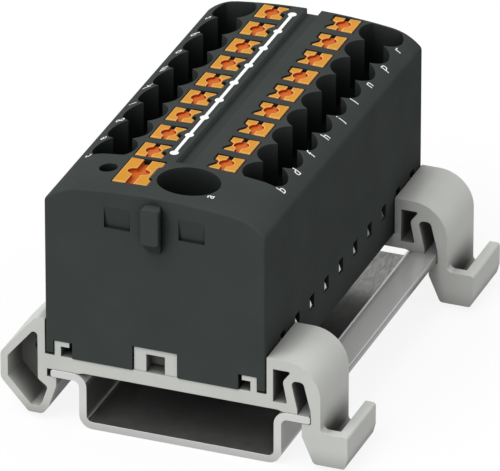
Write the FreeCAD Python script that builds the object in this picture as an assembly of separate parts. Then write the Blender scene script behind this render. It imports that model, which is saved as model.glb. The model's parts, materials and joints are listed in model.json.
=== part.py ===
"""Push-in power distribution block on two rail feet, with a cut of 35 mm top-hat rail.

A black moulded housing takes one large feed wire and two rows of nine smaller wires.
Each wire goes down a funnel into a leaf spring clamp, and an orange button beside the
funnel opens the clamp. The clamps share one current bar. Two grey feet, each moulded
in one piece with a spring loop and a spring latch, hold the housing on the rail.

Millimetres. X runs across the rail, Y along it from the front face to the rear, and
+Z is up. The origin is the centre of the rail's underside.
"""
import FreeCAD, Part
import math
import os

V = FreeCAD.Vector

# Rail, a standard top-hat section
rail_width = 35.0
rail_height = 7.5
rail_thickness = 1.0
rail_channel_width = 27.3
rail_inner_bend = 0.8
rail_lip_edge_radius = 0.3

# Rows of small connections
pitch = 5.2
ways_per_row = 9
first_way_y = 12.3
row_end_reach = 2.1
rear_wall = 0.5

# Housing envelope: the left side stands just outside the rail, the right side well inside
left_overhang = 0.66
right_setback = 6.0
foot_plate_thickness = 2.1
housing_height = 25.02
arch_radius = 80.0
shoulder_width = 4.2
shoulder_radius = 7.0
edge_radius = 0.9
end_edge_radius = 0.3
side_wall = 1.5
front_wall = 1.3
roof_depth = 10.62

# Wire funnels of the small connections
funnel_side_wall = 1.81
funnel_radius = 2.9
funnel_depth = 7.02
way_mouth_radius = 2.05
way_lead_in = 0.4
wire_bore_radius = 1.7

# Feed funnel and test hole
feed_x = 2.43
feed_y = 5.75
feed_half_width = 4.1
feed_half_length = 3.7
feed_funnel_depth = 6.02
feed_mouth_radius = 3.3
feed_lead_in = 0.6
feed_bore_radius = 2.8
test_hole_x = -8.67
test_hole_y = 6.4
test_hole_radius = 1.2

# Push buttons
button_to_funnel = 5.19
button_width = 3.6
button_clearance = 0.16
button_foot = 1.8
button_dimple_radius = 1.0
button_slot_width = 0.75
button_recess_depth = 0.45
button_bevel = 0.12
bite_depth = 0.62
bite_front = 1.45
bite_front_slant = 0.85
bite_rear = 0.8
bite_rear_slant = 0.45
bite_tongue_gap = 0.3
feed_button_x = -4.47
feed_button_y = 6.2
feed_button_width = 4.6
feed_button_length = 6.64
feed_dimple_half_width = 1.5
feed_slot_width = 1.15
feed_recess_depth = 0.75
feed_notch_depth = 0.45
feed_notch_front = 1.75
feed_notch_rear = 2.1
feed_notch_slant = 0.3

# Clamp chambers and springs
chamber_inner_gap = 0.55
spring_thickness = 0.4
spring_side_inset = 0.1
spring_gap = 0.1
spring_top_gap = 0.05
spring_loop_radius = 1.45
spring_tip_drop = 2.2
feed_spring_width = 5.6
feed_spring_loop_radius = 2.0
feed_spring_back_x = -7.6
feed_chamber_front_y = 2.0
feed_chamber_right_x = 8.0

# Current bar
bar_thickness = 0.8
bar_clearance = 0.12
bar_wall_height = 4.88
feed_bar_wall_height = 6.38

# Closing plate under the housing
cover_thickness = 3.9
cover_clearance = 0.1

# Windows along the bottom of the sides, with the current bar's barbs in them
window_length = 1.5
window_height = 2.0
window_lead = 1.7
barb_margin = 0.05
barb_sink = 0.2

# Marking groove, front rib and recesses
groove_width = 2.1
groove_depth = 0.9
groove_front_y = 10.0
rib_head_width = 2.45
rib_neck_width = 1.5
rib_depth = 1.8
rib_top_drop = 1.05
rib_face_height = 4.9
rib_bottom_taper = 1.85
rib_upper_radius = 0.3
rib_lower_radius = 0.6
recess_inner_x = 3.25
recess_width = 3.5
recess_top_drop = 2.42
recess_height = 3.0
recess_depth = 0.45

# Feet: plate, hooks and middle clip
foot_length = 10.1
foot_end_gap = 0.15
foot_plate_arch = 0.2
foot_side_gap = 0.14
foot_bottom_z = 0.85
claw_gap = 0.1
hook_height = 2.1
hook_bar = 0.7
hook_stem = 0.85
hook_reach = 2.0
hook_clearance = 0.1
hook_slot_depth = 2.55
hook_outer_inset = 1.18
leg_lift = 0.4
clip_half_width = 2.9
clip_height = 3.3
clip_depth = 2.6
clip_setback = 0.1
clip_window_half_width = 1.26
clip_window_height = 2.5
clip_window_depth = 2.0
clip_slit = 0.25
clip_clearance = 0.16
plate_bend_radius = 0.5
plate_arch_start = 0.2
plate_arch_end = 0.6

# Feet: hollow loop on the left, with its claw under the rail and a web across its middle
loop_wall = 1.0
loop_reach = 6.9
loop_rise = 4.9
loop_shoulder = 1.3
loop_low_z = 5.05
loop_high_z = 8.7
loop_toe_inset = 1.2
loop_toe_width = 1.95
loop_toe_rise = 1.05
loop_toe_lean = 0.8
loop_elbow_rise = 1.1
loop_corner_radius = 1.0
loop_inner_radius = 0.5
loop_pocket_gap = 0.55
loop_claw_reach = 0.7
loop_claw_height = 1.2
loop_web = 0.8
loop_web_gap = 2.2
loop_web_gap_z = 7.6

# Feet: spring latch on the right, with its claw and lever
latch_wall = 0.85
latch_rise = 5.2
latch_bend_radius = 4.8
latch_leg = 1.3
latch_claw_reach = 1.15
latch_claw_height = 1.9
latch_toe_run = 1.6
latch_corner_radius = 0.6
latch_slot_lap = 0.2
latch_slot_top_width = 1.7
latch_slot_top_z = 12.15
latch_slot_lean = 0.8
latch_slot_mouth = 0.6
latch_mouth_radius = 1.5
latch_roof = 1.45
latch_window_floor = 1.25
latch_window_width = 2.45
latch_window_waist = 1.3
latch_window_waist_drop = 1.5
latch_window_waist_radius = 0.9
latch_window_foot = 1.9
latch_gap = 0.05
lever_reach = 5.0
lever_top_z = 5.4
lever_corner_z = 2.4
lever_foot_inset = 0.4
lever_edge_radius = 0.4
lever_plate = 1.4
lever_front_wall = 1.4
lever_floor = 1.35
lever_pocket_radius = 0.7

# Sizes that follow from the ones above
half_rail = rail_width / 2
half_channel = rail_channel_width / 2
housing_left_x = -half_rail - left_overhang
housing_right_x = half_rail - right_setback
half_width = (housing_right_x - housing_left_x) / 2
housing_offset_x = (housing_right_x + housing_left_x) / 2
housing_length = first_way_y + pitch * (ways_per_row - 1) + row_end_reach + rear_wall
housing_bottom_z = rail_height + foot_plate_thickness
crown_z = housing_bottom_z + housing_height
chamber_top_z = crown_z - roof_depth
above_deck_z = crown_z + 3.0
way_ys = [first_way_y + pitch * i for i in range(ways_per_row)]
row_front_y = way_ys[0] - row_end_reach
row_rear_y = way_ys[-1] + row_end_reach
window_ys = [first_way_y - window_lead + pitch * (i - 1) for i in range(ways_per_row + 1)]
funnel_x = half_width - funnel_side_wall - funnel_radius
button_x = funnel_x - button_to_funnel
button_half = button_width / 2
button_bottom_z = chamber_top_z - button_foot
inner_half_width = half_width - side_wall
chamber_inner_x = button_x - button_half - chamber_inner_gap
spring_width = button_width - 2 * spring_side_inset
cover_top_z = housing_bottom_z + cover_thickness
bar_bottom_z = cover_top_z + bar_clearance
bar_top_z = bar_bottom_z + bar_thickness
bar_wall_top_z = bar_bottom_z + bar_wall_height
bar_half_width = inner_half_width - bar_clearance
bar_inner_half_width = bar_half_width - bar_thickness
bar_front_y = feed_chamber_front_y + bar_clearance
bar_rear_y = housing_length - front_wall - bar_clearance
spring_tip_z = bar_wall_top_z - spring_tip_drop
claw_top_z = rail_height - rail_thickness - claw_gap
loop_right_x = housing_left_x - foot_side_gap
loop_left_x = -half_rail - loop_reach
latch_left_x = housing_right_x + foot_side_gap
latch_slot_x = half_rail + latch_gap
latch_right_x = latch_slot_x + latch_leg
lever_right_x = half_rail + lever_reach


def box(x0, x1, y0, y1, z0, z1):
    """A box from its low and high sides."""
    return Part.makeBox(x1 - x0, y1 - y0, z1 - z0, V(x0, y0, z0))


def upright(radius, x, y, z0, z1):
    """A vertical cylinder."""
    return Part.makeCylinder(radius, z1 - z0, V(x, y, z0))


def mirrored(shape):
    """The shape on the other side of the housing's middle plane, X = 0 in housing terms."""
    return shape.mirror(V(0, 0, 0), V(1, 0, 0))


def rounded_loop(corners, place):
    """A closed wire through corners (a, b, radius), each rounded by its own radius."""
    tangents = []
    count = len(corners)
    for i, (a, b, radius) in enumerate(corners):
        here = V(a, b, 0)
        before = V(*corners[i - 1][:2], 0) - here
        after = V(*corners[(i + 1) % count][:2], 0) - here
        before.normalize()
        after.normalize()
        if radius == 0:
            tangents.append((here, None, here))
            continue
        half_angle = before.getAngle(after) / 2
        run = radius / math.tan(half_angle)
        middle = before + after
        middle.normalize()
        crest = here + middle * (radius / math.sin(half_angle) - radius)
        tangents.append((here + before * run, crest, here + after * run))
    edges = []
    for i, (start, crest, end) in enumerate(tangents):
        if crest is not None:
            edges.append(Part.Arc(place(start), place(crest), place(end)).toShape())
        following = tangents[(i + 1) % count][0]
        if (following - end).Length > 1e-6:
            edges.append(Part.LineSegment(place(end), place(following)).toShape())
    return Part.Wire(edges)


def across(corners, y, length):
    """A prism along Y from an outline of (x, z, radius) corners."""
    wire = rounded_loop(corners, lambda p: V(p.x, y, p.y))
    return Part.Face(wire).extrude(V(0, length, 0))


def standing(corners, z0, z1):
    """A prism along Z from an outline of (x, y, radius) corners."""
    wire = rounded_loop(corners, lambda p: V(p.x, p.y, z0))
    return Part.Face(wire).extrude(V(0, 0, z1 - z0))


def edges_where(shape, test):
    """The shape's edges whose every vertex passes the test."""
    return [e for e in shape.Edges if all(test(v.Point) for v in e.Vertexes)]


def deck_z(x):
    """The height of the arched deck at x from the housing's middle plane."""
    return crown_z - arch_radius + math.sqrt(arch_radius ** 2 - x ** 2)


def arch_body(y0, y1):
    """The housing's outer form: flat sides, soft shoulders and a shallow arched deck."""
    shoulder_start_x = half_width - shoulder_width
    lean = math.asin(shoulder_start_x / arch_radius)
    shoulder_z = deck_z(shoulder_start_x)
    centre = V(shoulder_start_x - shoulder_radius * math.sin(lean), 0,
               shoulder_z - shoulder_radius * math.cos(lean))
    edge_centre_x = half_width - edge_radius
    turn = math.asin((edge_centre_x - centre.x) / (shoulder_radius - edge_radius))
    edge_centre = V(edge_centre_x, 0, centre.z + (shoulder_radius - edge_radius) * math.cos(turn))

    def on(middle, radius, angle, side):
        return V(side * (middle.x + radius * math.sin(angle)), y0,
                 middle.z + radius * math.cos(angle))

    def side_edges(side):
        start = on(centre, shoulder_radius, lean, side)
        middle = on(centre, shoulder_radius, (lean + turn) / 2, side)
        end = on(centre, shoulder_radius, turn, side)
        corner = on(edge_centre, edge_radius, (turn + math.pi / 2) / 2, side)
        top_of_side = V(side * half_width, y0, edge_centre.z)
        foot_of_side = V(side * half_width, y0, housing_bottom_z)
        return start, [Part.Arc(start, middle, end).toShape(),
                       Part.Arc(end, corner, top_of_side).toShape(),
                       Part.LineSegment(top_of_side, foot_of_side).toShape()]

    left_start, left = side_edges(-1)
    right_start, right = side_edges(1)
    deck = Part.Arc(left_start, V(0, y0, crown_z), right_start).toShape()
    base = Part.LineSegment(V(-half_width, y0, housing_bottom_z),
                            V(half_width, y0, housing_bottom_z)).toShape()
    wire = Part.Wire(Part.__sortEdges__([deck, base] + left + right))
    return Part.Face(wire).extrude(V(0, y1 - y0, 0))


def button_outline(gap, tongue_gap):
    """A small button's outline about its own centre, grown by gap, with its bitten side.

    The housing's tongue in the bite stops short of the bite's far slant by tongue_gap.
    """
    h = button_half + gap
    front = -bite_front + gap
    rear = bite_rear - gap - tongue_gap
    floor_x = -h + bite_depth
    return [(h, -h, 0), (h, h, 0), (-h, h, 0), (-h, rear, 0), (floor_x, rear - bite_rear_slant, 0),
            (floor_x, front + bite_front_slant, 0), (-h, front, 0), (-h, -h, 0)]


def feed_button_outline(gap):
    """The feed button's outline about its own centre, with the long notch in its side."""
    w = feed_button_width / 2 + gap
    h = feed_button_length / 2 + gap
    front = -feed_notch_front + gap
    rear = feed_notch_rear - gap
    floor_x = w - feed_notch_depth
    return [(-w, -h, 0), (w, -h, 0), (w, front, 0), (floor_x, front + feed_notch_slant, 0),
            (floor_x, rear - feed_notch_slant, 0), (w, rear, 0), (w, h, 0), (-w, h, 0)]


def placed(shape, x, y, turned=False):
    """A copy of a shape made about its own centre, set at x and y, turned half round or not."""
    copy = shape.copy()
    if turned:
        copy.rotate(V(0, 0, 0), V(0, 0, 1), 180)
    copy.translate(V(x, y, 0))
    return copy


def button_seats():
    """Each small button's name, place and whether it is turned half round."""
    seats = []
    for i, y in enumerate(way_ys):
        seats.append(("right", i + 1, button_x, y, False))
        seats.append(("left", i + 1, -button_x, y, True))
    return seats


def bore_cuts(x, y, radius, mouth_radius, lead_in, top_z):
    """A wire's bore from a funnel's floor down to the clamp, with a short lead-in cone."""
    return [upright(radius, x, y, chamber_top_z, top_z),
            Part.makeCone(radius, mouth_radius, lead_in, V(x, y, top_z - lead_in))]


def funnel_cuts(side):
    """One row's funnels: overlapping straight mouths, then a bore with a lead-in for each wire."""
    x = side * funnel_x
    floor_z = crown_z - funnel_depth
    inside = box(-half_width, half_width, row_front_y, row_rear_y, 0, above_deck_z)
    mouths = [upright(funnel_radius, x, y, floor_z, above_deck_z) for y in way_ys]
    cuts = [mouths[0].multiFuse(mouths[1:]).common(inside)]
    for y in way_ys:
        cuts += bore_cuts(x, y, wire_bore_radius, way_mouth_radius, way_lead_in, floor_z)
    return cuts


def feed_funnel_cuts():
    """The feed wire's oval mouth, the bore below it, and the test hole beside it."""
    floor_z = crown_z - feed_funnel_depth
    oval = Part.Ellipse(V(feed_x, feed_y, floor_z), feed_half_width, feed_half_length)
    mouth = Part.Face(Part.Wire([oval.toShape()])).extrude(V(0, 0, above_deck_z - floor_z))
    bore = bore_cuts(feed_x, feed_y, feed_bore_radius, feed_mouth_radius, feed_lead_in, floor_z)
    test_hole = upright(test_hole_radius, test_hole_x, test_hole_y, chamber_top_z, above_deck_z)
    return [mouth, test_hole] + bore


def button_pockets():
    """Straight guides for the buttons, from the deck down to the clamp chambers."""
    small = standing(button_outline(button_clearance, bite_tongue_gap), chamber_top_z, above_deck_z)
    pockets = [placed(small, x, y, turned) for _, _, x, y, turned in button_seats()]
    feed = standing(feed_button_outline(button_clearance), chamber_top_z, above_deck_z)
    pockets.append(placed(feed, feed_button_x, feed_button_y))
    return pockets


def chamber_cuts():
    """Clamp chambers, the channels for the current bar and the recess for the closing plate."""
    cuts = []
    bar_wall_x = bar_inner_half_width - bar_clearance
    rear_end = housing_length - front_wall
    for side in (-1, 1):
        inner, outer = sorted((side * chamber_inner_x, side * bar_wall_x))
        cuts.append(box(inner, outer, row_front_y, row_rear_y, cover_top_z, chamber_top_z))
        inner, outer = sorted((side * bar_wall_x, side * inner_half_width))
        cuts.append(box(inner, outer, feed_chamber_front_y, rear_end,
                        cover_top_z, bar_wall_top_z + bar_clearance))
    feed_left_x = test_hole_x - test_hole_radius - button_clearance
    feed_rear_y = feed_button_y + feed_button_length / 2 + button_clearance
    cuts.append(box(feed_left_x, feed_chamber_right_x, feed_chamber_front_y, feed_rear_y,
                    cover_top_z, chamber_top_z))
    cuts.append(box(-inner_half_width, inner_half_width, feed_chamber_front_y, rear_end,
                    cover_top_z, bar_top_z + bar_clearance))
    cuts.append(box(-inner_half_width, inner_half_width, front_wall, rear_end,
                    housing_bottom_z, cover_top_z))
    return cuts


def window_cuts():
    """The row of small windows low in each side."""
    cuts = []
    for side in (-1, 1):
        inner, outer = sorted((side * (inner_half_width - bar_clearance), side * (half_width + 1)))
        for y in window_ys:
            cuts.append(box(inner, outer, y, y + window_length,
                            cover_top_z, cover_top_z + window_height))
    return cuts


def front_rib():
    """The dovetail rib on the front face: flat on top, running out to the wall below."""
    head = rib_head_width / 2
    neck = rib_neck_width / 2
    root = front_wall / 4
    reach = rib_depth + root
    top_z = crown_z - rib_top_drop
    low_z = top_z - rib_face_height
    drop = rib_bottom_taper * reach / rib_depth
    plan = [(-neck, root, 0), (-neck, 0, 0), (-head, -rib_depth / 2, 0), (-head, -rib_depth, 0.25),
            (head, -rib_depth, 0.25), (head, -rib_depth / 2, 0), (neck, 0, 0), (neck, root, 0)]
    outline = [(-head, low_z, rib_lower_radius), (head, low_z, rib_lower_radius),
               (head, top_z, rib_upper_radius), (-head, top_z, rib_upper_radius)]
    front = Part.Face(rounded_loop(outline, lambda p: V(p.x, -rib_depth, p.y)))
    block = front.extrude(V(0, reach, 0)).fuse(front.extrude(V(0, reach, -drop)))
    return standing(plan, low_z - drop, top_z).common(block)


def face_details():
    """Cuts in the outer faces: the marking groove and the two recesses, sunk at their lower edge."""
    cuts = [box(-groove_width / 2, groove_width / 2, groove_front_y, housing_length + 1,
                crown_z - groove_depth, above_deck_z)]
    top_z = crown_z - recess_top_drop
    low_z = top_z - recess_height
    for side in (-1, 1):
        inner = min(side * recess_inner_x, side * (recess_inner_x + recess_width))
        section = [V(inner, -1, top_z), V(inner, 0, top_z), V(inner, recess_depth, low_z),
                   V(inner, -1, low_z)]
        face = Part.Face(Part.makePolygon(section + section[:1]))
        cuts.append(face.extrude(V(recess_width, 0, 0)))
    return cuts


def foot_fronts():
    """The Y of each foot's front face."""
    return [foot_end_gap, housing_length - foot_length - foot_end_gap]


def foot_seat_cuts(front_y):
    """Room for one foot's two hooks, its middle clip and its plate under the legs."""
    slot_top_z = housing_bottom_z + hook_height + hook_clearance
    outer = half_width - hook_outer_inset + hook_clearance
    cuts = []
    y0 = front_y - foot_end_gap - hook_clearance
    y1 = front_y + foot_length + foot_end_gap + hook_clearance
    for side in (-1, 1):
        low, high = sorted((side * (outer - hook_slot_depth), side * outer))
        cuts.append(box(low, high, y0, y1, housing_bottom_z - 1, slot_top_z))
        low, high = sorted((side * (outer - hook_slot_depth), side * (half_width + 1)))
        cuts.append(box(low, high, y0, y1, housing_bottom_z - 1, housing_bottom_z + leg_lift))
    reach = clip_half_width + clip_clearance
    cuts.append(box(-reach, reach, y0, front_y + clip_depth + clip_clearance,
                    housing_bottom_z - 1, housing_bottom_z + clip_height + clip_clearance))
    return cuts


def in_place(shape):
    """Housing terms (middle plane at X = 0) to the block's own frame."""
    moved = shape.copy()
    moved.translate(V(housing_offset_x, -housing_length / 2, 0))
    return moved


def housing():
    """The black moulded body with its funnels, button guides, chambers and faces."""
    body = arch_body(0, housing_length)
    ends = [0, housing_length]
    rims = [e for y in ends for e in edges_where(body, lambda p, y=y: abs(p.y - y) < 1e-6)]
    rims = [e for e in rims if min(v.Z for v in e.Vertexes) > housing_bottom_z + 1e-6
            or abs(e.Vertexes[0].X - e.Vertexes[1].X) < 1e-6]
    body = body.makeFillet(end_edge_radius, rims)
    cuts = funnel_cuts(-1) + funnel_cuts(1) + feed_funnel_cuts() + button_pockets()
    cuts += chamber_cuts() + window_cuts() + face_details()
    for front_y in foot_fronts():
        cuts += foot_seat_cuts(front_y)
    return body.cut(cuts).fuse(front_rib()).removeSplitter()


def bottom_cover():
    """The plate that closes the housing's underside, notched for the feet."""
    reach = inner_half_width - cover_clearance
    plate = box(-reach, reach, front_wall + cover_clearance,
                housing_length - front_wall - cover_clearance, housing_bottom_z, cover_top_z)
    cuts = []
    for front_y in foot_fronts():
        cuts += foot_seat_cuts(front_y)
    return plate.cut(cuts)


def current_bar():
    """The shared bar: a flat strip with a wall up each side, window barbs and a feed wall."""
    outer = bar_half_width
    inner = bar_inner_half_width
    section = [(-outer, bar_bottom_z, 0), (outer, bar_bottom_z, 0),
               (outer, bar_wall_top_z, 0), (inner, bar_wall_top_z, 0), (inner, bar_top_z, 0),
               (-inner, bar_top_z, 0), (-inner, bar_wall_top_z, 0), (-outer, bar_wall_top_z, 0)]
    bar = across(section, bar_front_y, bar_rear_y - bar_front_y)
    tabs = []
    low_z = cover_top_z + barb_margin
    high_z = cover_top_z + window_height - barb_margin
    for side in (-1, 1):
        for y in window_ys:
            near = y + barb_margin
            far = y + window_length - barb_margin
            corner = [V(side * inner, near, low_z), V(side * inner, near, high_z),
                      V(side * inner, far, low_z)]
            barb = Part.Face(Part.makePolygon(corner + corner[:1]))
            tabs.append(barb.extrude(V(side * (half_width - barb_sink - inner), 0, 0)))
    feed_wall_x = feed_x + feed_bore_radius
    tabs.append(box(feed_wall_x, feed_wall_x + bar_thickness,
                    feed_y - feed_spring_width / 2, feed_y + feed_spring_width / 2,
                    bar_bottom_z, bar_bottom_z + feed_bar_wall_height))
    return bar.multiFuse(tabs).removeSplitter()


def leaf_spring(back_x, loop_radius, loop_top_z, tip_x, tip_z, width, y):
    """A clamp spring: a back leg, a loop under the button and a leg down to the bar's wall."""
    half = spring_thickness / 2
    loop = V(back_x + half + loop_radius, y, loop_top_z - half - loop_radius)
    tip = V(tip_x - half, y, tip_z) - loop
    leave = math.atan2(tip.z, tip.x) + math.acos(loop_radius / tip.Length)
    foot_z = bar_top_z + bar_clearance
    edges = []
    ends = []
    for radius in (loop_radius + half, loop_radius - half):
        side = radius - loop_radius
        foot = V(loop.x - radius, y, foot_z)
        start, middle, end = [loop + V(math.cos(a), 0, math.sin(a)) * radius
                              for a in (math.pi, (math.pi + leave) / 2, leave)]
        leg_end = loop + tip + V(math.cos(leave), 0, math.sin(leave)) * side
        edges += [Part.LineSegment(foot, start).toShape(), Part.Arc(start, middle, end).toShape(),
                  Part.LineSegment(end, leg_end).toShape()]
        ends.append((foot, leg_end))
    edges += [Part.LineSegment(ends[0][i], ends[1][i]).toShape() for i in (0, 1)]
    wire = Part.Wire(Part.__sortEdges__(edges))
    return Part.Face(wire).extrude(V(0, width, 0))


def way_spring(side, y):
    """The clamp spring of one small connection."""
    spring = leaf_spring(chamber_inner_x + spring_gap, spring_loop_radius,
                         button_bottom_z - spring_top_gap, bar_inner_half_width - spring_gap,
                         spring_tip_z, spring_width, y - spring_width / 2)
    return mirrored(spring) if side < 0 else spring


def feed_spring():
    """The larger clamp spring of the feed connection."""
    return leaf_spring(feed_spring_back_x, feed_spring_loop_radius,
                       button_bottom_z - spring_top_gap, feed_x + feed_bore_radius - spring_gap,
                       spring_tip_z, feed_spring_width, feed_y - feed_spring_width / 2)


def bevel_top(button):
    """The small bevel around a button's upper outline."""
    top = max(button.Faces, key=lambda f: f.CenterOfMass.z)
    return button.makeChamfer(button_bevel, top.OuterWire.Edges)


def dimpled(button, x, y, dimple, slot_width, depth, reach):
    """A button with its driver slot along Y and the dimple in the slot's middle."""
    floor_z = deck_z(x) - depth
    well = Part.Face(Part.Wire([dimple.toShape()])).extrude(V(0, 0, above_deck_z - floor_z))
    well.translate(V(x, y, floor_z))
    slot = box(x - slot_width / 2, x + slot_width / 2, y - reach, y + reach, floor_z, above_deck_z)
    return button.cut(well.fuse(slot).removeSplitter())


def small_button(x, y, turned):
    """A small push button, flat on top, with a round dimple on a driver slot."""
    prism = standing(button_outline(0, 0), button_bottom_z, deck_z(x))
    dimple = Part.Circle(V(0, 0, 0), V(0, 0, 1), button_dimple_radius)
    return dimpled(bevel_top(placed(prism, x, y, turned)), x, y, dimple, button_slot_width,
                   button_recess_depth, button_width)


def feed_button():
    """The large push button with an oval dimple on a wider driver slot."""
    prism = standing(feed_button_outline(0), button_bottom_z, deck_z(feed_button_x))
    dimple = Part.Ellipse(V(0, 0, 0), feed_dimple_half_width, button_dimple_radius)
    return dimpled(bevel_top(placed(prism, feed_button_x, feed_button_y)), feed_button_x,
                   feed_button_y, dimple, feed_slot_width, feed_recess_depth, feed_button_length)


def loop_corners():
    """The loop's outer corners, from the claw under the rail round its toe to its shoulder."""
    claw_x = -half_rail + loop_claw_reach
    toe_x = -half_rail - loop_toe_inset
    radius = loop_corner_radius
    return [(claw_x, claw_top_z - loop_claw_height, radius),
            (toe_x + loop_toe_lean, foot_bottom_z + loop_toe_rise, radius),
            (toe_x, foot_bottom_z, 0.9 * radius), (toe_x - loop_toe_width, foot_bottom_z, 0.7 * radius),
            (loop_left_x, loop_low_z, radius), (loop_left_x, loop_high_z, radius)]


def latch_corners():
    """The spring latch's outer corners, down its leg, round the lever and up to the claw."""
    claw_x = half_rail - latch_claw_reach
    slot_right_x = claw_x + latch_slot_lap
    slot_top_left_x = slot_right_x - latch_slot_top_width
    slot_left_x = slot_right_x - latch_slot_lean
    round_end = latch_corner_radius
    return [(latch_right_x, lever_top_z, lever_pocket_radius),
            (lever_right_x, lever_top_z, lever_edge_radius),
            (lever_right_x, lever_corner_z, round_end),
            (lever_right_x - lever_foot_inset, foot_bottom_z, lever_edge_radius),
            (claw_x + latch_toe_run, foot_bottom_z, round_end),
            (claw_x, claw_top_z - latch_claw_height, round_end), (claw_x, claw_top_z, 0),
            (latch_slot_x, claw_top_z, 0), (latch_slot_x, rail_height + latch_slot_mouth, latch_mouth_radius),
            (slot_right_x, latch_slot_top_z, round_end), (slot_top_left_x, latch_slot_top_z, round_end),
            (slot_left_x, rail_height + latch_slot_mouth, round_end), (slot_left_x, rail_height, 0)]


def hook_corners(x, turn, top):
    """One hook of the plate: its stem stands at x and it reaches inwards."""
    hook_top = top + hook_height
    lip = hook_top - hook_bar
    reach_x = x + turn * hook_reach
    stem_x = x + turn * hook_stem
    corners = [(x, top, 0), (x, hook_top, 0), (reach_x, hook_top, 0), (reach_x, lip, 0),
               (stem_x, lip, 0), (stem_x, top, 0)]
    return corners if turn > 0 else corners[::-1]


def foot_section():
    """A foot's outline across the rail: hollow loop, plate with hooks, and spring latch."""
    top = housing_bottom_z
    seat = rail_height
    arch = seat + foot_plate_arch
    bend = plate_bend_radius
    pocket_x = -half_rail - loop_pocket_gap
    arch_start_x = half_channel + plate_arch_start
    arch_end_x = half_channel - plate_arch_end
    plate = [(loop_right_x, top + loop_rise, 0), (loop_right_x, top, 0)]
    plate += hook_corners(housing_left_x + hook_outer_inset, 1, top)
    plate += hook_corners(housing_right_x - hook_outer_inset, -1, top)
    plate += [(latch_left_x, top, 0), (latch_left_x, top + latch_rise, 0),
              (latch_right_x, top + latch_rise, latch_bend_radius)]
    underside = [(arch_start_x, seat, bend), (arch_end_x, arch, bend), (-arch_end_x, arch, bend),
                 (-arch_start_x, seat, bend), (pocket_x, seat, 0), (pocket_x, claw_top_z, 0),
                 (-half_rail + loop_claw_reach, claw_top_z, 0)]
    crest = [(loop_right_x - loop_shoulder, top + loop_rise, loop_corner_radius)]
    return plate + latch_corners() + underside + loop_corners() + crest


def inset(corners, wall, radius):
    """The corners of a clockwise outline moved in by a wall, each with the same radius."""
    inner = []
    count = len(corners)
    lines = []
    for i, (a, b) in enumerate(corners):
        following = corners[(i + 1) % count]
        run = V(following[0] - a, following[1] - b, 0)
        run.normalize()
        inward = V(run.y, -run.x, 0)
        lines.append((V(a, b, 0) + inward * wall, run))
    for i in range(count):
        (p, d), (q, e) = lines[i - 1], lines[i]
        along = ((q.x - p.x) * e.y - (q.y - p.y) * e.x) / (d.x * e.y - d.y * e.x)
        inner.append((p.x + d.x * along, p.y + d.y * along, radius))
    return inner


def loop_hole():
    """The hollow of the loop, one wall inside its outer corners."""
    outer = [(a, b) for a, b, _ in loop_corners()]
    run = loop_right_x - loop_shoulder - loop_left_x
    rise = housing_bottom_z + loop_rise - loop_high_z
    crest_z = loop_high_z + rise * (loop_right_x - loop_left_x) / run
    elbow = (loop_right_x, outer[0][1] + loop_elbow_rise)
    return inset([elbow] + outer + [(loop_right_x, crest_z)], loop_wall, loop_inner_radius)


def latch_window():
    """The window behind the latch's S-shaped tongue."""
    left = latch_left_x + latch_wall
    roof = housing_bottom_z + latch_rise - latch_roof
    floor = rail_height + latch_window_floor
    small = latch_corner_radius / 3
    return [(left, roof, 0), (left + latch_window_width, roof, small),
            (left + latch_window_waist, roof - latch_window_waist_drop, latch_window_waist_radius),
            (left + latch_window_foot, floor, small), (left, floor, 0)]


def middle_clip(y0):
    """The frame that stands on the plate's middle, with a pocket in it and a slit behind."""
    front = y0 + clip_setback
    back = y0 + clip_depth
    top = housing_bottom_z
    half_window = clip_window_half_width
    frame = box(-clip_half_width, clip_half_width, front, back,
                top - foot_plate_thickness / 2, top + clip_height)
    pocket = box(-half_window, half_window, y0 - 1, y0 + clip_window_depth, top, top + clip_window_height)
    slit = box(-half_window, half_window, y0, back + 1, top, top + clip_slit)
    clip = frame.cut([pocket, slit])
    clip.translate(V(housing_offset_x, 0, 0))
    return clip


def foot(front_y):
    """One moulded foot, from its front face back, with its clip, web and lever pocket."""
    y0 = front_y - housing_length / 2
    holes = [across(hole, y0 - 1, foot_length + 2) for hole in (loop_hole(), latch_window())]
    floor = foot_bottom_z + lever_floor
    pocket_right_x = lever_right_x - lever_plate
    pocket = [(latch_right_x, floor, lever_pocket_radius), (pocket_right_x, floor, lever_pocket_radius),
              (pocket_right_x, lever_top_z + 1, 0), (latch_right_x, lever_top_z + 1, 0)]
    lever_pocket = across(pocket, y0 + lever_front_wall, foot_length)
    web_y = y0 + (foot_length - loop_web) / 2
    web = across(loop_hole(), web_y, loop_web)
    gap_x = loop_right_x - loop_wall - loop_web_gap
    gap = box(gap_x, loop_right_x, web_y, web_y + loop_web, loop_web_gap_z, above_deck_z)
    body = across(foot_section(), y0, foot_length).cut(holes + [lever_pocket])
    return body.fuse([web.cut(gap), middle_clip(y0)]).removeSplitter()


def din_rail():
    """The cut of top-hat rail, bent from one strip."""
    inner = half_channel - rail_thickness
    lip = rail_height - rail_thickness
    small = rail_inner_bend
    big = rail_inner_bend + rail_thickness
    edge = rail_lip_edge_radius
    right = [(half_channel, 0, big), (half_channel, lip, small), (half_rail, lip, edge),
             (half_rail, rail_height, edge), (inner, rail_height, big), (inner, rail_thickness, small)]
    left = [(-x, z, radius) for x, z, radius in reversed(right)]
    return across(right + left, -housing_length / 2, housing_length)


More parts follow.
